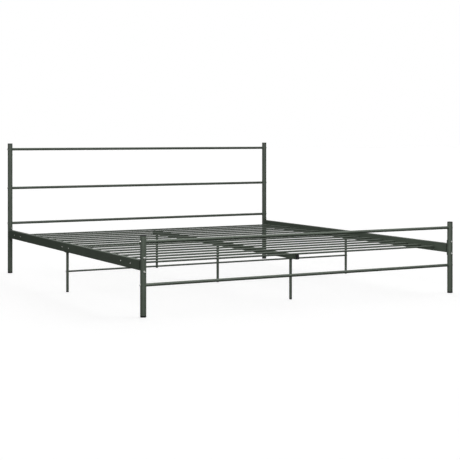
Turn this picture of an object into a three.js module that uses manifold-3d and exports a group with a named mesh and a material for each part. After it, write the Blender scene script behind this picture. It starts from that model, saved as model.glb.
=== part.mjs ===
// A double metal bed frame of powder-coated steel tube: two boards of round posts and cross bars,
// two side rails that carry sixteen round slats, and a centre beam on its own legs.
// Millimetres, +Z up, +Y towards the headboard. The origin is on the floor, under the middle of the bed.
import * as THREE from "three";
import { mergeVertices } from "three/addons/utils/BufferGeometryUtils.js";
import Module from "manifold-3d";

// Driving dimensions.
const GAP = 0.3; // clearance between pieces that touch
const POST_SPACING = { x: 1864, y: 2070 }; // between post axes
const POST = { radius: 15, wall: 1.5 };
const POST_TOP = { head: 824, foot: 396 };
const TOP_CAP = { height: 4, plug: 14, chamfer: 1 };
const FOOT_CAP = { height: 8, plug: 16, chamfer: 1 };
const BAR = { radius: 8, wall: 1.2 };
const BAR_HEIGHTS = {
  head: { top: 787, middle: 540.5, low: 318 },
  foot: { top: 363.5, low: 155 },
};
const RAIL = { width: 25, height: 50, wall: 1.5, corner: 2.5, middle: 249.5 };
const END_PLATE = { width: 17, thick: 3, bottom: 209, top: 293 };
const RAIL_BOLT_HEIGHTS = { upper: 286, lower: 220 };
const SLAT = { radius: 5, wall: 1, perGroup: 8, pitch: 122.5, first: 51 };
const BEAM = { width: 20, height: 25, wall: 1.2, corner: 2, middle: 16, halfLength: 910 };
const BEAM_CAP = { thick: 3, plug: 18 };
const LEG = { radius: 7.5, wall: 1.2 };
const LEG_CAP = { height: 6, plug: 12, chamfer: 0.8 };
const LEG_PLATE = { length: 44, thick: 2, screwSpacing: 30, screwHole: 2.2 };
const CENTRE_LEG_PLACES = { head: 866, middle: 0, foot: -838 };
const CROSSBAR = { radius: 5, wall: 1, height: 116 };
const BOLT = { shank: 3, head: 5.2, headHeight: 3, socket: 2.3, socketDepth: 1.6 };
const SMALL_BOLT = { shank: 2, head: 4, headHeight: 2.4, socket: 1.5, socketDepth: 1.2 };
const NUT = { radius: 5.8, thick: 5 };
const PLUG_LENGTH = 12; // threaded insert in the end of a bar

const SEGMENTS = { post: 24, bar: 16, slat: 12, leg: 16, hole: 8, hexagon: 6 };

// Finishes.
const COAT = { color: 0x4c524b, roughness: 0.5, metalness: 0.35 };
const PLASTIC = { color: 0x17181a, roughness: 0.65, metalness: 0 };
const ZINC = { color: 0xb9bbb6, roughness: 0.3, metalness: 0.9 };

const wasm = await Module();
wasm.setup();

const SIDES = { left: -1, right: 1 };
const ENDS = { head: 1, foot: -1 };
const DIRECTION = {
  x: new THREE.Vector3(1, 0, 0),
  y: new THREE.Vector3(0, 1, 0),
  z: new THREE.Vector3(0, 0, 1),
};

// Solids.

function solidOf(geometry) {
  const bare = geometry.clone();
  bare.deleteAttribute("normal");
  bare.deleteAttribute("uv");
  const merged = mergeVertices(bare, 1e-4);
  return new wasm.Manifold(
    new wasm.Mesh({
      numProp: 3,
      vertProperties: merged.attributes.position.array,
      triVerts: new Uint32Array(merged.index.array),
    }),
  );
}

function geometryOf(solid) {
  const mesh = solid.getMesh();
  const geometry = new THREE.BufferGeometry();
  geometry.setAttribute("position", new THREE.BufferAttribute(mesh.vertProperties, 3));
  geometry.setIndex(new THREE.BufferAttribute(mesh.triVerts, 1));
  const faceted = geometry.toNonIndexed();
  faceted.computeVertexNormals();
  return faceted;
}

// Turns a geometry made along +Z so that it runs along an axis, then moves its start to a place.
function placed(geometry, axis, at) {
  const turn = new THREE.Quaternion().setFromUnitVectors(DIRECTION.z, DIRECTION[axis]);
  geometry.applyQuaternion(turn);
  return geometry.translate(...at);
}

function circle(radius, segments) {
  const corners = [];
  for (let i = 0; i < segments; i += 1) {
    const angle = (2 * Math.PI * i) / segments;
    corners.push(new THREE.Vector2(radius * Math.cos(angle), radius * Math.sin(angle)));
  }
  return corners;
}

function roundedRectangle(width, height, corner) {
  const outline = new THREE.Shape();
  const x = width / 2 - corner;
  const y = height / 2 - corner;
  outline.absarc(x, y, corner, 0, Math.PI / 2);
  outline.absarc(-x, y, corner, Math.PI / 2, Math.PI);
  outline.absarc(-x, -y, corner, Math.PI, 1.5 * Math.PI);
  outline.absarc(x, -y, corner, 1.5 * Math.PI, 2 * Math.PI);
  const stepsPerCorner = 2;
  return outline.getPoints(stepsPerCorner);
}

// Extrudes an outline, with an optional hole, by a length along +Z.
function extruded(outline, length, hole) {
  const shape = new THREE.Shape(outline);
  if (hole) shape.holes.push(new THREE.Path(hole));
  return new THREE.ExtrudeGeometry(shape, { depth: length, bevelEnabled: false });
}

function roundTube(size, length, segments) {
  return extruded(circle(size.radius, segments), length, circle(size.radius - size.wall, segments));
}

function boxTube(size, length) {
  const outline = roundedRectangle(size.width, size.height, size.corner);
  const innerCorner = size.corner - size.wall;
  const bore = roundedRectangle(
    size.width - 2 * size.wall,
    size.height - 2 * size.wall,
    Math.max(innerCorner, 0.5),
  );
  return extruded(outline, length, bore);
}

// A solid rod from one place, running along an axis.
function rod(radius, length, segments, axis, at) {
  return solidOf(placed(extruded(circle(radius, segments), length), axis, at));
}

function box(width, depth, height, centre) {
  return solidOf(new THREE.BoxGeometry(width, depth, height).translate(...centre));
}

function joined(solids) {
  return solids.reduce((whole, piece) => whole.add(piece));
}

function cut(solid, tools) {
  return tools.reduce((left, tool) => left.subtract(tool), solid);
}

// Bolts.

// A button-head screw along +Z: its head's seat is at height zero and its shank hangs below.
function screw(size, shankLength) {
  const shank = rod(size.shank, shankLength + 0.5, SEGMENTS.hole, "z", [0, 0, -shankLength]);
  const dome = [
    new THREE.Vector2(0, 0),
    new THREE.Vector2(size.head, 0),
    new THREE.Vector2(size.head, 0.35 * size.headHeight),
    new THREE.Vector2(0.86 * size.head, 0.75 * size.headHeight),
    new THREE.Vector2(0.62 * size.head, size.headHeight),
    new THREE.Vector2(0, size.headHeight),
  ];
  const head = solidOf(new THREE.LatheGeometry(dome, SEGMENTS.slat).rotateX(Math.PI / 2));
  const socketBottom = size.headHeight - size.socketDepth;
  const socket = rod(size.socket, size.headHeight, SEGMENTS.hexagon, "z", [0, 0, socketBottom]);
  return shank.add(head).subtract(socket);
}

// Turns and moves a screw so that its head faces along a direction from a seat.
function screwAt(size, shankLength, facing, seat) {
  const turn = new THREE.Quaternion().setFromUnitVectors(DIRECTION.z, facing);
  const matrix = new THREE.Matrix4().compose(
    new THREE.Vector3(...seat),
    turn,
    new THREE.Vector3(1, 1, 1),
  );
  return screw(size, shankLength).transform(matrix.elements);
}

// Pieces.

const bed = new THREE.Group();

function add(name, geometry, finish, position = [0, 0, 0]) {
  const mesh = new THREE.Mesh(geometry, new THREE.MeshStandardMaterial(finish));
  mesh.name = name;
  mesh.position.set(...position);
  bed.add(mesh);
}

// Plug cap for a round tube: a chamfered disc with a plug that goes into the bore, along +Z.
function capGeometry(tube, cap) {
  const plugRadius = tube.radius - tube.wall - GAP;
  const profile = [
    new THREE.Vector2(0, 0),
    new THREE.Vector2(tube.radius - cap.chamfer, 0),
    new THREE.Vector2(tube.radius, cap.chamfer),
    new THREE.Vector2(tube.radius, cap.height),
    new THREE.Vector2(plugRadius, cap.height),
    new THREE.Vector2(plugRadius, cap.height + cap.plug),
    new THREE.Vector2(0, cap.height + cap.plug),
  ];
  return new THREE.LatheGeometry(profile, SEGMENTS.leg).rotateX(Math.PI / 2);
}

function barHoles(heights) {
  const reach = POST.radius + 2;
  return Object.values(heights).map((height) =>
    rod(BOLT.shank + GAP, 2 * reach, SEGMENTS.hole, "x", [-reach, 0, height]),
  );
}

function railBoltHoles() {
  const reach = POST.radius + 2;
  return Object.values(RAIL_BOLT_HEIGHTS).map((height) =>
    rod(BOLT.shank + GAP, 2 * reach, SEGMENTS.hole, "y", [0, -reach, height]),
  );
}

function addPosts(end, side) {
  const place = [(SIDES[side] * POST_SPACING.x) / 2, (ENDS[end] * POST_SPACING.y) / 2, 0];
  const bottom = FOOT_CAP.height + GAP;
  const top = POST_TOP[end] - TOP_CAP.height - GAP;
  const tube = placed(roundTube(POST, top - bottom, SEGMENTS.post), "z", [0, 0, bottom]);
  const drilled = cut(solidOf(tube), [...barHoles(BAR_HEIGHTS[end]), ...railBoltHoles()]);
  add(`${end}_post_${side}`, geometryOf(drilled), COAT, place);
  add(`${end}_post_foot_cap_${side}`, capGeometry(POST, FOOT_CAP), PLASTIC, place);
  const topCap = capGeometry(POST, TOP_CAP).rotateX(Math.PI);
  add(`${end}_post_top_cap_${side}`, topCap, PLASTIC, [place[0], place[1], POST_TOP[end]]);
}

// A cross bar with the threaded inserts and the bolts that pass through the posts into its ends.
// The ends are coped to the posts, and a small drain hole opens the closed bore.
function addBar(end, level) {
  const reach = POST_SPACING.x / 2;
  const length = 2 * (reach - POST.radius + 4);
  const tube = placed(roundTube(BAR, length, SEGMENTS.bar), "x", [-length / 2, 0, 0]);
  const copes = Object.values(SIDES).map((sign) =>
    rod(POST.radius + 2 * GAP, 4 * BAR.radius, SEGMENTS.post, "z", [
      sign * reach,
      0,
      -2 * BAR.radius,
    ]),
  );
  const drain = rod(2, BAR.radius, SEGMENTS.hole, "z", [reach / 2, 0, -BAR.radius - 2]);
  const pieces = [cut(solidOf(tube), [...copes, drain])];
  for (const sign of Object.values(SIDES)) {
    const insertStart = sign * (reach - POST.radius - 3) - (sign > 0 ? PLUG_LENGTH : 0);
    const insertRadius = BAR.radius - BAR.wall / 2;
    pieces.push(
      rod(insertRadius, PLUG_LENGTH, SEGMENTS.bar, "x", [insertStart, 0, 0]),
    );
    const facing = new THREE.Vector3(sign, 0, 0);
    const seat = [sign * (reach + POST.radius + GAP), 0, 0];
    pieces.push(screwAt(BOLT, 2 * POST.radius + PLUG_LENGTH, facing, seat));
  }
  const place = [0, (ENDS[end] * POST_SPACING.y) / 2, BAR_HEIGHTS[end][level]];
  add(`${end}_bar_${level}`, geometryOf(joined(pieces)), COAT, place);
}

const slatPlaces = [];
for (let i = 0; i < SLAT.perGroup; i += 1) {
  const place = SLAT.first + i * SLAT.pitch;
  slatPlaces.push(place, -place);
}
slatPlaces.sort((a, b) => a - b);

// These slats are held by a bolt through each rail: the two outer ones and the inner one of a group.
const boltedSlats = [0, 1, SLAT.perGroup - 1];
const isBolted = (index) => boltedSlats.includes(Math.min(index, 2 * SLAT.perGroup - 1 - index));

// A side rail with its welded end plates and weld nuts, in its place at the side that sign gives.
// It has slat holes in its inner wall and bolt holes in its outer wall.
function railGeometry(sign) {
  const plateFace = POST_SPACING.y / 2 - POST.radius - GAP;
  const tubeEnd = plateFace - END_PLATE.thick;
  const overlap = 0.5;
  const length = 2 * (tubeEnd + overlap);
  const tube = boxTube(RAIL, length);
  tube.rotateX(Math.PI / 2);
  tube.translate(0, length / 2, RAIL.middle);
  const pieces = [solidOf(tube)];
  const holes = [];
  const plateHeight = END_PLATE.top - END_PLATE.bottom;
  const plateMiddle = (END_PLATE.top + END_PLATE.bottom) / 2;
  for (const end of Object.values(ENDS)) {
    const plateY = end * (plateFace - END_PLATE.thick / 2);
    pieces.push(box(END_PLATE.width, END_PLATE.thick, plateHeight, [0, plateY, plateMiddle]));
    for (const height of Object.values(RAIL_BOLT_HEIGHTS)) {
      const nutReach = NUT.thick + overlap;
      const nutStart = end > 0 ? tubeEnd - NUT.thick : -tubeEnd - overlap;
      pieces.push(rod(NUT.radius, nutReach, SEGMENTS.hexagon, "y", [0, nutStart, height]));
      const holeStart = end > 0 ? tubeEnd - NUT.thick - 1 : -plateFace - 1;
      const holeLength = NUT.thick + END_PLATE.thick + 2;
      holes.push(
        rod(BOLT.shank + GAP, holeLength, SEGMENTS.hole, "y", [0, holeStart, height]),
      );
    }
  }
  const wallReach = 2 * RAIL.wall;
  const innerStart = sign > 0 ? -RAIL.width / 2 - RAIL.wall : RAIL.width / 2 - RAIL.wall;
  const outerStart = sign > 0 ? RAIL.width / 2 - RAIL.wall : -RAIL.width / 2 - RAIL.wall;
  slatPlaces.forEach((place, index) => {
    const slatHole = SLAT.radius + GAP;
    const innerAt = [innerStart - 0.5, place, RAIL.middle];
    holes.push(rod(slatHole, wallReach + 1, SEGMENTS.slat, "x", innerAt));
    if (isBolted(index)) {
      const boltHole = SMALL_BOLT.shank + GAP;
      const outerAt = [outerStart - 0.5, place, RAIL.middle];
      holes.push(rod(boltHole, wallReach + 1, SEGMENTS.hole, "x", outerAt));
    }
  });
  return geometryOf(cut(joined(pieces), holes));
}

function addRailBolts(end, side) {
  const facing = new THREE.Vector3(0, ENDS[end], 0);
  const seatY = ENDS[end] * (POST_SPACING.y / 2 + POST.radius + GAP);
  const shank = 2 * POST.radius + GAP + END_PLATE.thick + NUT.thick + 2;
  for (const [level, height] of Object.entries(RAIL_BOLT_HEIGHTS)) {
    const seat = [(SIDES[side] * POST_SPACING.x) / 2, seatY, height];
    const bolt = screwAt(BOLT, shank, facing, seat);
    add(`rail_bolt_${end}_${side}_${level}`, geometryOf(bolt), ZINC);
  }
}

function addSlats() {
  const reach = POST_SPACING.x / 2 + RAIL.width / 2 - RAIL.wall - GAP;
  slatPlaces.forEach((place, index) => {
    const tube = placed(roundTube(SLAT, 2 * reach, SEGMENTS.slat), "x", [-reach, 0, 0]);
    const number = String(index + 1).padStart(2, "0");
    add(`slat_${number}`, tube, COAT, [0, place, RAIL.middle]);
  });
}

const beamTop = RAIL.middle - SLAT.radius - GAP;
const beamBottom = beamTop - BEAM.height;

function addBeam() {
  const middle = [BEAM.middle, 0, beamTop - BEAM.height / 2];
  const tubeHalf = BEAM.halfLength - BEAM_CAP.thick - GAP;
  const tube = boxTube(BEAM, 2 * tubeHalf);
  tube.rotateX(Math.PI / 2);
  tube.translate(0, tubeHalf, 0);
  add("centre_beam", tube, COAT, middle);
  for (const [end, sign] of Object.entries(ENDS)) {
    const face = roundedRectangle(BEAM.width, BEAM.height, BEAM.corner);
    const plugWidth = BEAM.width - 2 * BEAM.wall - 2 * GAP;
    const plugHeight = BEAM.height - 2 * BEAM.wall - 2 * GAP;
    const plug = roundedRectangle(plugWidth, plugHeight, BEAM.corner - BEAM.wall);
    const flange = solidOf(extruded(face, BEAM_CAP.thick));
    const insert = solidOf(extruded(plug, BEAM_CAP.thick + BEAM_CAP.plug));
    const cap = geometryOf(flange.add(insert)).rotateX((sign * Math.PI) / 2);
    add(`centre_beam_cap_${end}`, cap, PLASTIC, [
      middle[0],
      sign * BEAM.halfLength,
      middle[2],
    ]);
  }
}

// A leg with its foot cap and the welded plate that is screwed under a rail or the beam.
function addLeg(name, place, top, plateWidth, drilled) {
  const bottom = LEG_CAP.height + GAP;
  const plateBottom = top - GAP - LEG_PLATE.thick;
  const tubeLength = plateBottom + LEG_PLATE.thick / 2 - bottom;
  const tube = placed(roundTube(LEG, tubeLength, SEGMENTS.leg), "z", [0, 0, bottom]);
  const plate = box(plateWidth, LEG_PLATE.length, LEG_PLATE.thick, [
    0,
    0,
    plateBottom + LEG_PLATE.thick / 2,
  ]);
  const screwHoles = Object.values(ENDS).map((sign) =>
    rod(LEG_PLATE.screwHole, 2 * LEG_PLATE.thick, SEGMENTS.hole, "z", [
      0,
      (sign * LEG_PLATE.screwSpacing) / 2,
      plateBottom - 1,
    ]),
  );
  const crossHoles = drilled.map(([radius, start, length]) =>
    rod(radius, length, SEGMENTS.slat, "x", [start, 0, CROSSBAR.height]),
  );
  const leg = cut(joined([solidOf(tube), plate]), [...screwHoles, ...crossHoles]);
  add(name, geometryOf(leg), COAT, [...place, 0]);
  add(`${name}_foot_cap`, capGeometry(LEG, LEG_CAP), PLASTIC, [...place, 0]);
}

function addLegs() {
  const reach = LEG.radius + 2;
  const railBottom = RAIL.middle - RAIL.height / 2;
  const boltHole = [SMALL_BOLT.shank + GAP, -reach, 2 * reach];
  const barHole = [CROSSBAR.radius + GAP, -reach, 2 * reach];
  for (const [side, sign] of Object.entries(SIDES)) {
    const place = [(sign * POST_SPACING.x) / 2, 0];
    addLeg(`side_leg_${side}`, place, railBottom, RAIL.width, [boltHole]);
  }
  for (const [station, y] of Object.entries(CENTRE_LEG_PLACES)) {
    const holes = station === "middle" ? [barHole] : [];
    addLeg(`centre_leg_${station}`, [BEAM.middle, y], beamBottom, BEAM.width, holes);
  }
}

// The low cross bar runs through the middle centre leg, and a bolt through each side leg holds it.
function addCrossbar() {
  const legPlace = POST_SPACING.x / 2;
  const reach = legPlace - LEG.radius - GAP;
  const tube = placed(roundTube(CROSSBAR, 2 * reach, SEGMENTS.slat), "x", [-reach, 0, 0]);
  add("crossbar", tube, COAT, [0, 0, CROSSBAR.height]);
  for (const [side, sign] of Object.entries(SIDES)) {
    const facing = new THREE.Vector3(sign, 0, 0);
    const seat = [sign * (legPlace + LEG.radius + GAP), 0, CROSSBAR.height];
    const bolt = screwAt(SMALL_BOLT, 2 * LEG.radius + PLUG_LENGTH, facing, seat);
    add(`crossbar_bolt_${side}`, geometryOf(bolt), ZINC);
  }
}

for (const end of Object.keys(ENDS)) {
  for (const side of Object.keys(SIDES)) {
    addPosts(end, side);
    addRailBolts(end, side);
  }
  for (const level of Object.keys(BAR_HEIGHTS[end])) addBar(end, level);
}
for (const [side, sign] of Object.entries(SIDES)) {
  add(`side_rail_${side}`, railGeometry(sign), COAT, [(sign * POST_SPACING.x) / 2, 0, 0]);
}
addSlats();
addBeam();
addLegs();
addCrossbar();

export default bed;
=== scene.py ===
"""A metal bed frame in grey powder coat, shown in a plain studio. Metres, +Z up, +Y towards the headboard."""

import math

import bmesh
import bpy
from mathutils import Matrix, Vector


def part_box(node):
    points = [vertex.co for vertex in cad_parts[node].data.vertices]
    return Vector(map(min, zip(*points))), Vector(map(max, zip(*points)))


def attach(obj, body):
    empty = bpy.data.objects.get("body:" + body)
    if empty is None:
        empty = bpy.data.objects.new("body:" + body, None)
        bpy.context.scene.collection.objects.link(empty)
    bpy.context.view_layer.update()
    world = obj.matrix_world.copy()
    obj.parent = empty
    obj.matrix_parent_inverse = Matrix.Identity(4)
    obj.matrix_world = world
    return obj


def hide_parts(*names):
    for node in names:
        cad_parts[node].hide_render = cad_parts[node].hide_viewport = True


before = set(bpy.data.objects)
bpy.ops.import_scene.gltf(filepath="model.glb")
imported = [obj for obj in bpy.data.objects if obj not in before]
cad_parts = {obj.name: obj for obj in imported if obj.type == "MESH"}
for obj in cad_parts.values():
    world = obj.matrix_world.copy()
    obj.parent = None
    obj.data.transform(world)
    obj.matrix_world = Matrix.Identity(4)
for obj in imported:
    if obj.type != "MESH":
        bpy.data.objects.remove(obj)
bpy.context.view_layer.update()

MM = 0.001
X, Y, Z = Vector((1, 0, 0)), Vector((0, 1, 0)), Vector((0, 0, 1))
SIDES = {"left": -1, "right": 1}
ENDS = {"head": 1, "foot": -1}
NODES = sorted(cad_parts)
LEGS = [node for node in NODES if "_leg_" in node and not node.endswith("_cap")]
SLATS = [node for node in NODES if node.startswith("slat_")]
# The slats that are bolted to the rails: the two at each end and the two in the middle.
BOLTED = [index for index in range(len(SLATS)) if min(index, len(SLATS) - 1 - index) in (0, 1, 7)]

# Sizes that the CAD boxes don't give, in metres.
POST_WALL = 1.5 * MM
BAR_RADIUS = 8 * MM
BAR_WALL = 1.2 * MM
RAIL_WALL = 1.5 * MM
RAIL_SIZE = (25 * MM, 50 * MM)
RAIL_CORNER = 2.5 * MM
RAIL_MIDDLE = 249.5 * MM
END_PLATE = (17 * MM, 3 * MM, 84 * MM)
WELD_NUT_ACROSS = 8.4 * MM
WELD_NUT_THICK = 5 * MM
SLAT_WALL = 1.0 * MM
BEAM_WALL = 1.2 * MM
BEAM_CORNER = 2 * MM
LEG_RADIUS = 7.5 * MM
LEG_WALL = 1.2 * MM
LEG_PLATE_THICK = 2 * MM
LEG_SCREW_SPACING = 30 * MM
PLATE_CORNER = 3 * MM
BAR_BOLT_THREAD = 14 * MM
SLAT_BOLT_SHANK = 16 * MM
LEG_SCREW_SHANK = 5 * MM
BAR_INSERT = 12 * MM
SMALL_INSERT = 10 * MM
# How far from a hole the tube's extra rings stand, which keep the faces round the hole short.
HOLE_MARGIN = 9 * MM
GAP = 0.3 * MM
# Pieces that are held against each other stand this far apart, so that their faces don't coincide.
TOUCH = 0.05 * MM
# Bolt sizes: the radii of the shank and head, the head's height, and the hexagonal socket's depth and
# half the distance across its flats.
M6 = {"shank": 3.0 * MM, "head": 5.2 * MM, "height": 3.0 * MM, "socket": 2.0 * MM, "depth": 1.6 * MM}
M4 = {"shank": 2.0 * MM, "head": 4.0 * MM, "height": 2.4 * MM, "socket": 1.25 * MM, "depth": 1.2 * MM}


# ---------------------------------------------------------------- mesh tools


def circle(radius, count):
    """Points at even angles round a circle."""
    return [
        (radius * math.cos(2 * math.pi * i / count), radius * math.sin(2 * math.pi * i / count))
        for i in range(count)
    ]


def hexagon(half_across, count, turn=0.0):
    """Points at even angles on a hexagon, given half the distance across its flats."""
    points = []
    for i in range(count):
        angle = 2 * math.pi * i / count
        offset = (angle - turn + math.pi / 6) % (math.pi / 3) - math.pi / 6
        reach = half_across / math.cos(offset)
        points.append((reach * math.cos(angle), reach * math.sin(angle)))
    return points


def rounded(width, height, corner):
    """A rounded rectangle, anticlockwise."""
    points, steps = [], 6
    for quarter, (sx, sy) in enumerate(((1, 1), (-1, 1), (-1, -1), (1, -1))):
        for i in range(steps + 1):
            angle = math.pi / 2 * (quarter + i / steps)
            points.append(
                (
                    sx * (width / 2 - corner) + corner * math.cos(angle),
                    sy * (height / 2 - corner) + corner * math.sin(angle),
                )
            )
    return points


def across(axis):
    """Two directions that make a right-handed set with an axis."""
    axis = axis.normalized()
    first = X if abs(axis.x) < 0.5 else Y
    second = axis.cross(first).normalized()
    return second.cross(axis).normalized(), second


def ring(outline, origin, axis, height):
    """An outline placed across an axis, at a height along it."""
    u, v = across(axis)
    return [origin + axis * height + u * a + v * b for a, b in outline]


def mesh_piece(name, vertices, faces, smooth_angle=35):
    """A linked object with outward normals, smooth except at edges sharper than an angle."""
    mesh = bpy.data.meshes.new(name)
    mesh.from_pydata([tuple(v) for v in vertices], [], faces)
    work = bmesh.new()
    work.from_mesh(mesh)
    bmesh.ops.recalc_face_normals(work, faces=work.faces)
    work.to_mesh(mesh)
    work.free()
    soften(mesh, smooth_angle)
    piece = bpy.data.objects.new(name, mesh)
    bpy.context.scene.collection.objects.link(piece)
    return piece


def soften(mesh, angle=35):
    """Smooth shading, but sharp where faces meet at more than an angle, in degrees."""
    mesh.shade_smooth()
    mesh.set_sharp_from_angle(angle=math.radians(angle))


def loft(rings, cyclic=False):
    """Quads between rings of equal length. Open lofts are closed by a flat face at each end."""
    count = len(rings[0])
    vertices = [point for one in rings for point in one]
    faces = []
    last = len(rings) if cyclic else len(rings) - 1
    for i in range(last):
        a, b = i * count, ((i + 1) % len(rings)) * count
        for j in range(count):
            k = (j + 1) % count
            faces.append((a + j, a + k, b + k, b + j))
    if not cyclic:
        faces.append(tuple(reversed(range(count))))
        faces.append(tuple(range((len(rings) - 1) * count, len(rings) * count)))
    return vertices, faces


def merged(parts):
    """Joins several (vertices, faces) solids into one."""
    vertices, faces = [], []
    for some_vertices, some_faces in parts:
        start = len(vertices)
        vertices += some_vertices
        faces += [tuple(start + i for i in face) for face in some_faces]
    return vertices, faces


def arc(centre, radius, start, stop, steps):
    """Points of an arc in a (radius, height) profile, angles in degrees."""
    return [
        (
            centre[0] + radius * math.cos(math.radians(start + (stop - start) * i / steps)),
            centre[1] + radius * math.sin(math.radians(start + (stop - start) * i / steps)),
        )
        for i in range(steps + 1)
    ]


def lathe(profile, origin, axis, count, cyclic=False):
    """A (radius, height) profile turned round an axis."""
    return loft([ring(circle(r, count), origin, axis, h) for r, h in profile], cyclic)


def tube_profile(radius, wall, low, high, lip=0.35 * MM, stops=()):
    """The closed wall section of a tube with eased edges, and extra stops along its straight length."""
    inner = radius - wall
    heights = sorted(stops)
    return [
        *arc((radius - lip, low + lip), lip, -90, 0, 3),
        *[(radius, h) for h in heights],
        *arc((radius - lip, high - lip), lip, 0, 90, 3),
        *arc((inner + lip, high - lip), lip, 90, 180, 3),
        *[(inner, h) for h in reversed(heights)],
        *arc((inner + lip, low + lip), lip, 180, 270, 3),
    ]


def box_tube(size, wall, corner, origin, axis, length):
    """A box tube from an origin along an axis, with eased edges at its ends."""
    def outline(shrink):
        return rounded(size[0] - 2 * shrink, size[1] - 2 * shrink, max(corner - shrink, 0.4 * MM))

    lip = 0.3 * MM
    steps = [(lip, 0), (0, lip), (0, length - lip), (lip, length)]
    steps += [(wall - lip, length), (wall, length - lip), (wall, lip), (wall - lip, 0)]
    rings = [ring(outline(shrink), origin, axis, height) for shrink, height in steps]
    return loft(rings, cyclic=True)


def carve(piece, cutters):
    """Cuts solids, given as (vertices, faces), out of a piece."""
    tool = mesh_piece(piece.name + "_cutter", *merged(cutters))
    modifier = piece.modifiers.new("carve", "BOOLEAN")
    modifier.operation, modifier.solver, modifier.object = "DIFFERENCE", "EXACT", tool
    bpy.context.view_layer.update()
    result = bpy.data.meshes.new_from_object(
        piece.evaluated_get(bpy.context.evaluated_depsgraph_get())
    )
    piece.modifiers.clear()
    piece.data = result
    soften(result)
    bpy.data.objects.remove(tool)


def peg(radius, start, axis, length):
    """A round cutter along an axis."""
    return loft([ring(circle(radius, 32), start, axis, h) for h in (0, length)])


# ---------------------------------------------------------------- materials


def node_material(name):
    """A new material, its shader node and its object coordinates."""
    material = bpy.data.materials.new(name)
    material.use_nodes = True
    nodes = material.node_tree.nodes
    shader = nodes["Principled BSDF"]
    place = nodes.new("ShaderNodeTexCoord").outputs["Object"]
    return material, shader, place


def grey(value):
    """The colour with this value in all three channels."""
    return (value, value, value)


def noise(material, place, scale, detail):
    """Noise from 0 to 1, with scale in cells per metre."""
    node = material.node_tree.nodes.new("ShaderNodeTexNoise")
    node.inputs["Scale"].default_value = scale
    node.inputs["Detail"].default_value = detail
    material.node_tree.links.new(place, node.inputs["Vector"])
    return node.outputs["Fac"]


def ramp(material, source, stops):
    """A colour for each value: each stop is (value, colour)."""
    node = material.node_tree.nodes.new("ShaderNodeValToRGB")
    elements = node.color_ramp.elements
    while len(elements) < len(stops):
        elements.new(0.5)
    for element, (position, colour) in zip(elements, stops):
        element.position = position
        element.color = (*colour, 1)
    material.node_tree.links.new(source, node.inputs["Fac"])
    return node.outputs["Color"]


def mixed(material, factor, a, b, blend="MIX"):
    """A mix of two colours. The factor and the colours are sockets or plain values."""
    node = material.node_tree.nodes.new("ShaderNodeMix")
    node.data_type, node.blend_type = "RGBA", blend
    for socket, value in ((node.inputs["Factor"], factor), (node.inputs["A"], a), (node.inputs["B"], b)):
        if isinstance(value, bpy.types.NodeSocket):
            material.node_tree.links.new(value, socket)
        elif isinstance(value, (int, float)):
            socket.default_value = value
        else:
            socket.default_value = (*value, 1)
    return node.outputs["Result"]


def spread(material, source, low, high):
    """Maps a 0 to 1 value to a range."""
    node = material.node_tree.nodes.new("ShaderNodeMapRange")
    node.inputs["To Min"].default_value = low
    node.inputs["To Max"].default_value = high
    material.node_tree.links.new(source, node.inputs["Value"])
    return node.outputs["Result"]


def bumped(material, shader, layers):
    """Chains bump nodes: each layer is (height, strength, distance)."""
    normal = None
    for height, strength, distance in layers:
        node = material.node_tree.nodes.new("ShaderNodeBump")
        node.inputs["Strength"].default_value = strength
        node.inputs["Distance"].default_value = distance
        material.node_tree.links.new(height, node.inputs["Height"])
        if normal is not None:
            material.node_tree.links.new(normal, node.inputs["Normal"])
        normal = node.outputs["Normal"]
    material.node_tree.links.new(normal, shader.inputs["Normal"])


def near_edges(material, reach):
    """1 on edges and 0 away from them, from how far the rounded normal leans off the true one."""
    nodes = material.node_tree.nodes
    rounded_normal = nodes.new("ShaderNodeBevel")
    rounded_normal.samples = 4
    rounded_normal.inputs["Radius"].default_value = reach
    lean = nodes.new("ShaderNodeVectorMath")
    lean.operation = "DOT_PRODUCT"
    material.node_tree.links.new(rounded_normal.outputs["Normal"], lean.inputs[0])
    material.node_tree.links.new(nodes.new("ShaderNodeNewGeometry").outputs["Normal"], lean.inputs[1])
    return ramp(material, lean.outputs["Value"], [(0.80, grey(1)), (0.97, grey(0))])


def powder_coat():
    """Grey polyester powder: fine orange peel, faint mottling, lighter where the film is thin on edges."""
    material, shader, place = node_material("powder_coat")
    link = material.node_tree.links.new
    dark, light, thin = (0.0488, 0.0620, 0.0466), (0.0581, 0.0741, 0.0556), (0.17, 0.18, 0.165)
    cloud = noise(material, place, 9, 4)
    speckle = noise(material, place, 1400, 2)
    base = ramp(material, cloud, [(0.3, dark), (0.7, light)])
    grain = ramp(material, speckle, [(0.35, grey(0.86)), (0.65, grey(1.12))])
    colour = mixed(material, 1.0, base, grain, "MULTIPLY")
    patchy = ramp(material, noise(material, place, 130, 3), [(0.42, grey(0)), (0.62, grey(1))])
    worn = mixed(material, 1.0, near_edges(material, 0.8 * MM), patchy, "MULTIPLY")
    colour = mixed(material, spread(material, worn, 0.0, 0.45), colour, thin)
    link(colour, shader.inputs["Base Color"])
    link(spread(material, noise(material, place, 60, 3), 0.44, 0.56), shader.inputs["Roughness"])
    shader.inputs["Specular IOR Level"].default_value = 0.5
    peel = noise(material, place, 650, 2)
    bumped(material, shader, [(peel, 0.5, 0.3 * MM), (speckle, 0.3, 0.12 * MM)])
    return material


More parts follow.
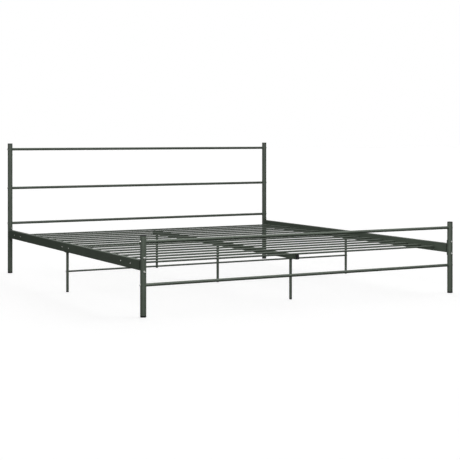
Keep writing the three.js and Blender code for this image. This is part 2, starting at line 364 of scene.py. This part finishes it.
def black_plastic():
    """Moulded polyethylene: spark-eroded grain with a slight sheen."""
    material, shader, place = node_material("black_plastic")
    link = material.node_tree.links.new
    dark, light = (0.006, 0.006, 0.007), (0.012, 0.012, 0.013)
    grain = noise(material, place, 1900, 3)
    colour = ramp(material, noise(material, place, 35, 3), [(0.3, dark), (0.7, light)])
    link(colour, shader.inputs["Base Color"])
    link(spread(material, noise(material, place, 240, 2), 0.5, 0.68), shader.inputs["Roughness"])
    shader.inputs["Specular IOR Level"].default_value = 0.3
    bumped(material, shader, [(grain, 0.4, 0.15 * MM)])
    return material


def bright_zinc():
    """Zinc-plated steel: bright, slightly clouded, with fine turning marks."""
    material, shader, place = node_material("bright_zinc")
    link = material.node_tree.links.new
    shader.inputs["Metallic"].default_value = 1.0
    cloud = noise(material, place, 420, 3)
    colour = ramp(material, cloud, [(0.3, (0.56, 0.57, 0.56)), (0.7, (0.76, 0.76, 0.72))])
    link(colour, shader.inputs["Base Color"])
    link(spread(material, cloud, 0.22, 0.42), shader.inputs["Roughness"])
    bumped(material, shader, [(noise(material, place, 2600, 2), 0.2, 0.06 * MM)])
    return material


COAT, PLASTIC, ZINC = powder_coat(), black_plastic(), bright_zinc()
FINISH = {"frame_coat": COAT, "black_plastic": PLASTIC, "zinc_steel": ZINC}


def settle(piece, slot, *nodes):
    """Gives a piece its finish, puts it on the frame and hides any CAD nodes that it stands for."""
    piece.data.materials.clear()
    piece.data.materials.append(FINISH[slot])
    flats = piece.modifiers.new("flat_faces_shade_flat", "WEIGHTED_NORMAL")
    flats.keep_sharp = True
    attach(piece, "root")
    if nodes:
        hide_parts(*nodes)


# ---------------------------------------------------------------- fasteners


def bolt_parts(size, seat, facing, shank):
    """A button-head socket bolt: its head stands on the seat and its shank goes the other way."""
    count = 48
    head, height, socket, depth = size["head"], size["height"], size["socket"], size["depth"]
    # The head: an eased foot, a short rim, a dome and a hexagonal socket.
    rim_height = 0.30 * height
    crown_radius = 0.62 * head
    rings = [
        (circle(0.94 * head, count), 0.0),
        (circle(head, count), 0.07 * height),
        (circle(head, count), rim_height),
    ]
    steps = 7
    for i in range(1, steps + 1):
        turn = math.pi / 2 * i / steps
        radius = crown_radius + (head - crown_radius) * math.cos(turn)
        rings.append((circle(radius, count), rim_height + (height - rim_height) * math.sin(turn)))
    rings += [
        (hexagon(1.16 * socket, count), height),
        (hexagon(socket, count), height - 0.12 * depth),
        (hexagon(socket, count), height - depth),
        (circle(0.3 * socket, count), height - depth * 1.12),
    ]
    # The thread: ridges from the tip, then plain shank up to the head.
    crest, most_ridges = size["shank"], 14
    pitch, root = crest / 3, crest * 0.86
    ridges = min(int(shank / pitch) - 1, most_ridges)
    thread = [(circle(crest * 0.8, count), -shank), (circle(crest, count), -shank + pitch / 2)]
    for i in range(ridges):
        bottom = -shank + pitch * (i + 0.5)
        thread.append((circle(root, count), bottom + pitch * 0.5))
        thread.append((circle(crest, count), bottom + pitch))
    thread.append((circle(crest, count), 0.0))
    return loft([ring(outline, seat, facing, place) for outline, place in thread + rings])


def bolt(name, size, seat, facing, shank, *nodes):
    """A zinc-plated bolt that may stand for CAD nodes."""
    settle(mesh_piece(name, *bolt_parts(size, seat, facing, shank), 30), "zinc_steel", *nodes)


def nut_parts(across_flats, thick, bore, start, axis):
    """A chamfered hexagon weld nut with its bore."""
    count, turn = 48, math.pi / 6
    half = across_flats / 2
    ease, chamfer = 0.12 * thick, 0.5 * MM
    rings = [
        (circle(half, count), 0.0),
        (hexagon(half, count, turn), ease),
        (hexagon(half, count, turn), thick - ease),
        (circle(half, count), thick),
        (circle(bore + chamfer, count), thick),
        (circle(bore, count), thick - chamfer),
        (circle(bore, count), chamfer),
        (circle(bore + chamfer, count), 0.0),
    ]
    return loft([ring(outline, start, axis, h) for outline, h in rings], cyclic=True)


def bead_parts(path, radius, ripple, closed):
    """A weld bead: a round section along a level path, with the ripples of a hand-held torch."""
    rings = []
    total = len(path)
    ripple_step = 2.4
    for i, point in enumerate(path):
        ahead = path[(i + 1) % total] if closed or i + 1 < total else point
        behind = path[i - 1] if closed or i else point
        sideways = (ahead - behind).normalized().cross(Z)
        size = radius * (1 + ripple * math.sin(ripple_step * i))
        if not closed:
            # An open bead tapers over its last two steps.
            size *= min(1.0, 0.45 + 0.3 * min(i, total - 1 - i))
        rings.append([point + sideways * a + Z * b for a, b in circle(size, 12)])
    return loft(rings, cyclic=closed)


# ---------------------------------------------------------------- pieces


def middle(node):
    """The middle of a CAD node's box."""
    low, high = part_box(node)
    return (low + high) / 2


def rail_bolt_seats(end, side):
    """The upper and lower rail bolts of a corner, as (node, height)."""
    names = [f"rail_bolt_{end}_{side}_{level}" for level in ("upper", "lower")]
    return [(name, middle(name).z) for name in names]


def bar_heights(end):
    """Each cross bar of a board, with its height."""
    return {node: middle(node).z for node in NODES if node.startswith(f"{end}_bar_")}


def make_posts():
    """The four posts, drilled for the rail bolts and the bar bolts."""
    for end in ENDS:
        for side in SIDES:
            node = f"{end}_post_{side}"
            low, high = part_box(node)
            radius = (high.x - low.x) / 2
            centre = Vector(((low.x + high.x) / 2, (low.y + high.y) / 2, 0))
            heights = [z for _, z in rail_bolt_seats(end, side)] + list(bar_heights(end).values())
            stops = [z + offset for z in heights for offset in (-HOLE_MARGIN, HOLE_MARGIN)]
            profile = tube_profile(radius, POST_WALL, low.z, high.z, stops=stops)
            post = mesh_piece(node + "_tube", *lathe(profile, centre, Z, 64, cyclic=True))
            reach = radius + 3 * MM
            hole = M6["shank"] + GAP
            cutters = [
                peg(hole, centre + Vector((0, -reach, z)), Y, 2 * reach)
                for _, z in rail_bolt_seats(end, side)
            ]
            cutters += [
                peg(hole, centre + Vector((-reach, 0, z)), X, 2 * reach)
                for z in bar_heights(end).values()
            ]
            carve(post, cutters)
            settle(post, "frame_coat", node)


def cap_profile(radius, visible, plug_radius, plug):
    """A moulded plug cap: an eased disc and a ribbed plug. Heights grow into the tube."""
    ease, lip = min(1.4 * MM, visible * 0.4), 0.3 * MM
    groove = plug_radius - 0.9 * MM
    count = 4
    pitch = plug / count
    ribs = []
    for i in range(count):
        start = visible + i * pitch
        ribs += [
            (groove, start + 0.15 * pitch),
            (plug_radius, start + 0.35 * pitch),
            (plug_radius - 0.1 * MM, start + 0.55 * pitch),
            (groove, start + 0.85 * pitch),
        ]
    return [
        (0.35 * radius, 0.0),
        *arc((radius - ease, ease), ease, -90, 0, 5),
        *arc((radius - lip, visible - lip), lip, 0, 90, 2),
        (groove, visible),
        *ribs,
        (plug_radius - 2.2 * MM, visible + plug),
    ]


def make_caps():
    """The plastic caps on the posts' tops and under every post and leg."""
    for node in NODES:
        top = "_top_cap_" in node
        if not (top or "_foot_cap" in node):
            continue
        low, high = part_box(node)
        centre = middle(node)
        radius = (high.x - low.x) / 2
        if "_post_" in node:
            wall, plug = POST_WALL, (14 if top else 16) * MM
        else:
            wall, plug = LEG_WALL, 12 * MM
        profile = cap_profile(radius, (high.z - low.z) - plug, radius - wall - GAP, plug)
        origin = Vector((centre.x, centre.y, high.z if top else low.z))
        cap = mesh_piece(node + "_moulding", *lathe(profile, origin, -Z if top else Z, 56))
        settle(cap, "black_plastic", node)


def coped_tube(name, reach, place_y, height, radius, wall, post_radius):
    """A cross tube whose ends are cut to fit round posts that stand at X = -reach and +reach."""
    count, lip = 48, 0.3 * MM
    rings = []
    # The section's heights only say which end a ring is at, and whether it is eased.
    for r, h in tube_profile(radius, wall, -1, 1, lip=lip):
        ease = lip if abs(h) < 1 else 0.0
        rings.append([])
        for u, v in circle(r, count):
            x = math.copysign(reach - math.sqrt(post_radius**2 - u**2) - ease, h)
            rings[-1].append(Vector((x, place_y + u, height + v)))
    return mesh_piece(name, *loft(rings, cyclic=True))


def make_insert(name, bolt_size, tube_bore, start, axis, length):
    """A threaded insert that is pressed into a tube's end, with a groove round its middle."""
    radius, bore = tube_bore - GAP, bolt_size["shank"] + GAP
    ease = 0.3 * MM
    profile = [
        (radius - ease, 0),
        (radius, ease),
        (radius, 0.40 * length),
        (radius - ease, 0.45 * length),
        (radius - ease, 0.55 * length),
        (radius, 0.60 * length),
        (radius, length - ease),
        (radius - ease, length),
        (bore + ease, length),
        (bore, length - ease),
        (bore, ease),
        (bore + ease, 0),
    ]
    settle(mesh_piece(name, *lathe(profile, start, axis, 36, cyclic=True)), "zinc_steel")


def make_bars():
    """The cross bars of both boards, each with an insert and a bolt at each end."""
    for end in ENDS:
        post_low, post_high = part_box(f"{end}_post_right")
        post_radius = (post_high.x - post_low.x) / 2 + GAP
        reach = (post_low.x + post_high.x) / 2
        place_y = (post_low.y + post_high.y) / 2
        for node, height in bar_heights(end).items():
            size = (BAR_RADIUS, BAR_WALL, post_radius)
            bar = coped_tube(node + "_tube", reach, place_y, height, *size)
            # A small drain hole opens the closed bore through its lower wall.
            below = Vector((0.5 * reach, place_y, height - 12 * MM))
            carve(bar, [peg(2 * MM, below, Z, 9 * MM)])
            settle(bar, "frame_coat", node)
            for side, sign in SIDES.items():
                seat = Vector((sign * (reach + post_radius), place_y, height))
                shank = 2 * post_radius + BAR_BOLT_THREAD
                bolt(f"{node}_bolt_{side}", M6, seat, X * sign, shank)
                start = Vector((sign * (reach - post_radius - 3 * MM), place_y, height))
                bore = BAR_RADIUS - BAR_WALL
                make_insert(f"{node}_insert_{side}", M6, bore, start, X * -sign, BAR_INSERT)


def make_rail_bolts():
    """The two bolts at each corner that hold a rail's end plate to its post."""
    for end, sign in ENDS.items():
        for side in SIDES:
            for node, height in rail_bolt_seats(end, side):
                low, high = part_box(node)
                head_top = high.y if sign > 0 else low.y
                seat = Vector((middle(node).x, head_top - sign * M6["height"], height))
                shank = (high.y - low.y) - M6["height"]
                bolt(node + "_m6", M6, seat, Y * sign, shank, node)


def make_rails():
    """The side rails, pierced for the slats, their bolts and the leg screws."""
    beyond, depth = 2 * MM, 5 * MM
    for side, sign in SIDES.items():
        node = f"side_rail_{side}"
        low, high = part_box(node)
        centre_x = (low.x + high.x) / 2
        tube_end = high.y - END_PLATE[1]
        origin = Vector((centre_x, TOUCH - tube_end, RAIL_MIDDLE))
        # An outline's second direction across +Y is -Z, so width and height keep their order.
        tube = box_tube(RAIL_SIZE, RAIL_WALL, RAIL_CORNER, origin, Y, 2 * (tube_end - TOUCH))
        rail = mesh_piece(node + "_tube", *tube)
        outer_wall = centre_x + sign * RAIL_SIZE[0] / 2
        inner_wall = centre_x - sign * RAIL_SIZE[0] / 2
        cutters = screw_holes(f"side_leg_{side}")
        for index, slat in enumerate(SLATS):
            spot = middle(slat)
            slat_low, slat_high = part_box(slat)
            inside = Vector((inner_wall - sign * beyond, spot.y, spot.z))
            cutters.append(peg((slat_high.z - slat_low.z) / 2 + GAP, inside, X * sign, depth))
            if index in BOLTED:
                outside = Vector((outer_wall + sign * beyond, spot.y, spot.z))
                cutters.append(peg(M4["shank"] + GAP, outside, X * -sign, depth))
        carve(rail, cutters)
        settle(rail, "frame_coat", node)
        for end, end_sign in ENDS.items():
            make_end_plate(node, end, centre_x, end_sign * (tube_end + END_PLATE[1] / 2), end_sign)


def plate_rings(size, thick, origin, axis, ease):
    """The rings of a flat plate with rounded corners and eased edges."""
    shape = ((ease, 0), (0, ease), (0, thick - ease), (ease, thick))
    return [
        ring(rounded(size[0] - 2 * e, size[1] - 2 * e, PLATE_CORNER - e), origin, axis, h)
        for e, h in shape
    ]


def make_end_plate(node, end, x, y, sign):
    """The plate that is welded to a rail's end, with its two weld nuts and the weld beads."""
    width, thick, height = END_PLATE
    bolts = rail_bolt_seats(end, node.rsplit("_", 1)[1])
    low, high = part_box(node)
    centre = Vector((x, y - thick / 2, (low.z + high.z) / 2))
    plate = mesh_piece(
        f"{node}_end_plate_{end}", *loft(plate_rings((width, height), thick, centre, Y, 0.5 * MM))
    )
    carve(plate, [peg(M6["shank"] + GAP, Vector((x, y - thick, z)), Y, 2 * thick) for _, z in bolts])
    settle(plate, "frame_coat")
    inner_face = y - sign * thick / 2
    for bolt_node, z in bolts:
        level = bolt_node.rsplit("_", 1)[1]
        seat = Vector((x, inner_face - sign * TOUCH, z))
        nut = nut_parts(WELD_NUT_ACROSS, WELD_NUT_THICK, M6["shank"] + GAP / 2, seat, Y * -sign)
        settle(mesh_piece(f"{node}_weld_nut_{end}_{level}", *nut), "frame_coat")
    make_rail_weld(f"{node}_weld_{end}", x, inner_face, sign)


def make_rail_weld(name, x, inner_face, sign):
    """One bead along the rail's top edge, and a tack on each side of the lower nut."""
    step = 0.5 * MM
    beads = []
    for edge, start, stop in ((1, -6.5 * MM, 6.5 * MM), (-1, -8 * MM, -6 * MM), (-1, 6 * MM, 8 * MM)):
        place_y = inner_face - sign * 0.4 * MM
        z = RAIL_MIDDLE + edge * (RAIL_SIZE[1] / 2 + 0.2 * MM)
        steps = round((stop - start) / step)
        path = [
            Vector((x + start + (stop - start) * i / steps, place_y, z)) for i in range(steps + 1)
        ]
        beads.append(bead_parts(path, 1.3 * MM, 0.14, closed=False))
    settle(mesh_piece(name, *merged(beads), 60), "frame_coat")


def make_slats():
    """The sixteen round slats. Six of them have a bolt and an insert at each end."""
    for index, node in enumerate(SLATS):
        low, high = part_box(node)
        radius = (high.z - low.z) / 2
        centre = middle(node)
        origin = Vector((0, centre.y, centre.z))
        profile = tube_profile(radius, SLAT_WALL, low.x, high.x, lip=0.3 * MM)
        slat = mesh_piece(node + "_tube", *lathe(profile, origin, X, 40, cyclic=True))
        settle(slat, "frame_coat", node)
        if index in BOLTED:
            for side, sign in SIDES.items():
                rail_low, rail_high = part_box(f"side_rail_{side}")
                face = rail_high.x if sign > 0 else rail_low.x
                seat = Vector((face + sign * TOUCH, centre.y, centre.z))
                bolt(f"{node}_bolt_{side}", M4, seat, X * sign, SLAT_BOLT_SHANK)
                start = Vector((sign * (high.x - 2 * MM), centre.y, centre.z))
                bore = radius - SLAT_WALL
                make_insert(f"{node}_insert_{side}", M4, bore, start, X * -sign, SMALL_INSERT)


def screw_spots(leg):
    """Where the two screws of a leg's plate stand, on the plate's lower face."""
    centre, plate_low = middle(leg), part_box(leg)[1].z - LEG_PLATE_THICK
    return [Vector((centre.x, centre.y + sign * LEG_SCREW_SPACING / 2, plate_low)) for sign in (-1, 1)]


def screw_holes(leg):
    """Cutters for a leg's two screws, through its plate and the wall that the plate meets."""
    return [peg(M4["shank"] + GAP, spot - Z * 2 * MM, Z, 8 * MM) for spot in screw_spots(leg)]


def make_beam():
    """The centre beam, pierced for the leg screws, and its two end caps."""
    low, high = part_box("centre_beam")
    size = (high.x - low.x, high.z - low.z)
    centre = middle("centre_beam")
    origin = Vector((centre.x, low.y, centre.z))
    tube = box_tube(size, BEAM_WALL, BEAM_CORNER, origin, Y, high.y - low.y)
    beam = mesh_piece("centre_beam_tube", *tube)
    carve(beam, [hole for leg in LEGS if leg.startswith("centre") for hole in screw_holes(leg)])
    settle(beam, "frame_coat", "centre_beam")
    for end, sign in ENDS.items():
        make_beam_cap(f"centre_beam_cap_{end}", size, centre, sign)


def make_beam_cap(node, size, centre, sign):
    """A moulded cap: an eased block outside the beam's end and a ribbed plug inside it."""
    low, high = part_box(node)
    start = Vector((centre.x, high.y if sign > 0 else low.y, centre.z))
    thick, ease, lip = 3 * MM, 0.9 * MM, 0.2 * MM
    groove = BEAM_WALL + 1.2 * MM
    # Each step of the shape is how far it stands in from the beam's outline, and its depth.
    shape = [
        (ease, 0.0),
        (0.35 * ease, 0.35 * ease),
        (0.0, ease),
        (0.0, thick - lip),
        (lip, thick),
        (groove, thick),
    ]
    plug, count = (high.y - low.y) - thick, 3
    for i in range(count):
        step = thick + plug * (i + 0.2) / count
        shape += [
            (groove, step),
            (BEAM_WALL + GAP, step + 0.15 * plug / count),
            (BEAM_WALL + 0.5 * MM, step + 0.45 * plug / count),
            (groove, step + 0.6 * plug / count),
        ]
    shape.append((BEAM_WALL + 2 * MM, thick + plug))
    rings = []
    for inset, depth in shape:
        corner = max(BEAM_CORNER - inset, 0.5 * MM)
        outline = rounded(size[0] - 2 * inset, size[1] - 2 * inset, corner)
        rings.append(ring(outline, start, Y * -sign, depth))
    settle(mesh_piece(node + "_moulding", *loft(rings)), "black_plastic", node)


def make_leg(node):
    """A leg tube, pierced where the low cross bar meets it, and the plate on its top."""
    low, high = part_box(node)
    centre = middle(node)
    plate_low = high.z - LEG_PLATE_THICK
    origin = Vector((centre.x, centre.y, 0))
    holds_bar = abs(centre.y) < LEG_RADIUS
    bar_z = middle("crossbar").z
    stops = [bar_z - HOLE_MARGIN, bar_z + HOLE_MARGIN] if holds_bar else []
    profile = tube_profile(LEG_RADIUS, LEG_WALL, low.z, plate_low - TOUCH, stops=stops)
    tube = mesh_piece(node + "_tube", *lathe(profile, origin, Z, 48, cyclic=True))
    if holds_bar:
        bar_low, bar_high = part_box("crossbar")
        # The bar passes through the centre leg, and is bolted to the side legs.
        through = abs(centre.x) < LEG_RADIUS * 3
        hole = ((bar_high.z - bar_low.z) / 2 if through else M4["shank"]) + GAP
        start = Vector((centre.x - 10 * MM, centre.y, bar_z))
        carve(tube, [peg(hole, start, X, 20 * MM)])
    settle(tube, "frame_coat", node)
    make_leg_plate(node, (high.x - low.x, high.y - low.y), origin, plate_low)


def make_leg_plate(node, size, origin, plate_low):
    """The plate on a leg's top, the weld round the leg and the two screws into the rail or beam."""
    rings = plate_rings(size, LEG_PLATE_THICK, origin + Z * plate_low, Z, 0.4 * MM)
    plate = mesh_piece(node + "_plate", *loft(rings))
    carve(plate, screw_holes(node))
    settle(plate, "frame_coat")
    level = Z * (plate_low - 0.5 * MM)
    path = [origin + level + X * a + Y * b for a, b in circle(LEG_RADIUS + 0.6 * MM, 72)]
    settle(mesh_piece(node + "_weld", *bead_parts(path, 1.5 * MM, 0.12, closed=True), 60), "frame_coat")
    for number, spot in enumerate(screw_spots(node), 1):
        bolt(f"{node}_screw_{number}", M4, spot - Z * TOUCH, -Z, LEG_SCREW_SHANK)


def make_crossbar():
    """The low cross bar between the middle legs, with an insert and a bolt at each end."""
    low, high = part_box("crossbar")
    radius = (high.z - low.z) / 2
    centre = middle("crossbar")
    leg_reach = LEG_RADIUS + GAP
    size = (high.x + leg_reach, centre.y, centre.z, radius, SLAT_WALL, leg_reach)
    settle(coped_tube("crossbar_tube", *size), "frame_coat", "crossbar")
    for side, sign in SIDES.items():
        node = f"crossbar_bolt_{side}"
        bolt_low, bolt_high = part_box(node)
        outer = bolt_high.x if sign > 0 else bolt_low.x
        seat = Vector((outer - sign * M4["height"], centre.y, centre.z))
        shank = (bolt_high.x - bolt_low.x) - M4["height"]
        bolt(node + "_m4", M4, seat, X * sign, shank, node)
        start = Vector((sign * (high.x - 2 * MM), centre.y, centre.z))
        bore = radius - SLAT_WALL
        make_insert(f"crossbar_insert_{side}", M4, bore, start, X * -sign, SMALL_INSERT)


# ---------------------------------------------------------------- studio


# Each far light's azimuth and elevation, the angle that it spans, and its strength. At azimuth 0 it
# stands at the foot of the bed, and at 90 on the right.
FAR_LIGHTS = (
    ("front_fill", -28, 12, 40, 0.25),
    ("right_fill", 80, 30, 60, 0.48),
    ("left_fill", -100, 30, 60, 0.185),
    ("back_fill", 152, 42, 60, 0.22),
    ("back_low", 152, 8, 40, 0.35),
)
# Each soft box's place, the point that it faces, its width and its power in watts. The last two stand
# near the foot posts, whose tops they brighten.
SOFT_BOXES = (
    ("front_box", (-0.8, -2.2, 2.2), (0, 0, 0.3), 2.0, 65),
    ("left_box", (-2.4, 0, 1.6), (-0.9, 0, 0.3), 1.0, 10.5),
    ("left_post_box", (-1.35, -1.75, 1.0), (-0.93, -1.03, 0.4), 0.5, 3.5),
    ("right_post_box", (0.5, -1.8, 1.0), (0.93, -1.03, 0.4), 0.5, 3.5),
)


def make_floor():
    """A pale floor. It glows, so that it stays white and the frame's shadows on it stay faint."""
    half = 60
    vertices = [(-half, -half, 0), (half, -half, 0), (half, half, 0), (-half, half, 0)]
    floor = mesh_piece("studio_floor", vertices, [(0, 1, 2, 3)])
    material, shader, place = node_material("pale_floor")
    tone = ramp(material, noise(material, place, 0.6, 2), [(0.3, grey(0.49)), (0.7, grey(0.51))])
    material.node_tree.links.new(tone, shader.inputs["Base Color"])
    shader.inputs["Roughness"].default_value = 1.0
    shader.inputs["Specular IOR Level"].default_value = 0.0
    shader.inputs["Emission Color"].default_value = (1, 1, 1, 1)
    shader.inputs["Emission Strength"].default_value = 0.71
    floor.data.materials.append(material)
    floor.visible_diffuse = False
    floor.visible_glossy = False
    floor.visible_shadow = False
    return floor


def make_backdrop():
    """White where the camera sees it, and nearly dark as a light."""
    world = bpy.data.worlds.new("studio")
    bpy.context.scene.world = world
    world.use_nodes = True
    tree = world.node_tree
    seen = tree.nodes.new("ShaderNodeLightPath").outputs["Is Camera Ray"]
    shade = tree.nodes.new("ShaderNodeMix")
    shade.data_type = "RGBA"
    shade.inputs["A"].default_value = (*grey(0.02), 1)
    shade.inputs["B"].default_value = (*grey(1), 1)
    tree.links.new(seen, shade.inputs["Factor"])
    tree.links.new(shade.outputs["Result"], tree.nodes["Background"].inputs["Color"])


def make_far_lights():
    """Wide lights that reach the whole frame evenly."""
    for name, azimuth, elevation, width, strength in FAR_LIGHTS:
        light = bpy.data.lights.new(name, "SUN")
        light.angle = math.radians(width)
        light.energy = math.pi * strength
        lamp = bpy.data.objects.new(name, light)
        lamp.rotation_euler = (math.radians(90 - elevation), 0, math.radians(azimuth))
        # The low back light would glare off the rails' tops, so nothing reflects it.
        lamp.visible_glossy = name != "back_low"
        bpy.context.scene.collection.objects.link(lamp)


def make_soft_boxes(floor):
    """Near soft boxes, which light the frame unevenly and leave the floor alone."""
    unlit = bpy.data.collections.new("not_lit_by_soft_boxes")
    unlit.objects.link(floor)
    unlit.collection_objects[0].light_linking.link_state = "EXCLUDE"
    for name, place, aim, width, power in SOFT_BOXES:
        light = bpy.data.lights.new(name, "AREA")
        light.shape, light.size, light.energy = "DISK", width, power
        lamp = bpy.data.objects.new(name, light)
        lamp.location = place
        lamp.rotation_euler = (Vector(place) - Vector(aim)).to_track_quat("Z", "Y").to_euler()
        lamp.visible_camera = False
        lamp.light_linking.receiver_collection = unlit
        bpy.context.scene.collection.objects.link(lamp)


def make_camera():
    """A level camera at the photograph's angle, with its view shifted down to the bed."""
    camera = bpy.data.cameras.new("camera")
    camera.sensor_width = 36
    camera.lens = 92.43
    camera.shift_y = -0.2069
    camera.clip_end = 200
    holder = bpy.data.objects.new("camera", camera)
    holder.location = (-3.2587, -6.2427, 0.8789)
    holder.rotation_euler = (math.radians(90), 0, math.radians(-28.276))
    bpy.context.scene.collection.objects.link(holder)
    bpy.context.scene.camera = holder
    bpy.context.scene.view_settings.view_transform = "Standard"


make_camera()
make_posts()
make_caps()
make_bars()
make_rail_bolts()
make_rails()
make_slats()
make_beam()
for leg in LEGS:
    make_leg(leg)
make_crossbar()
make_backdrop()
make_far_lights()
make_soft_boxes(make_floor())
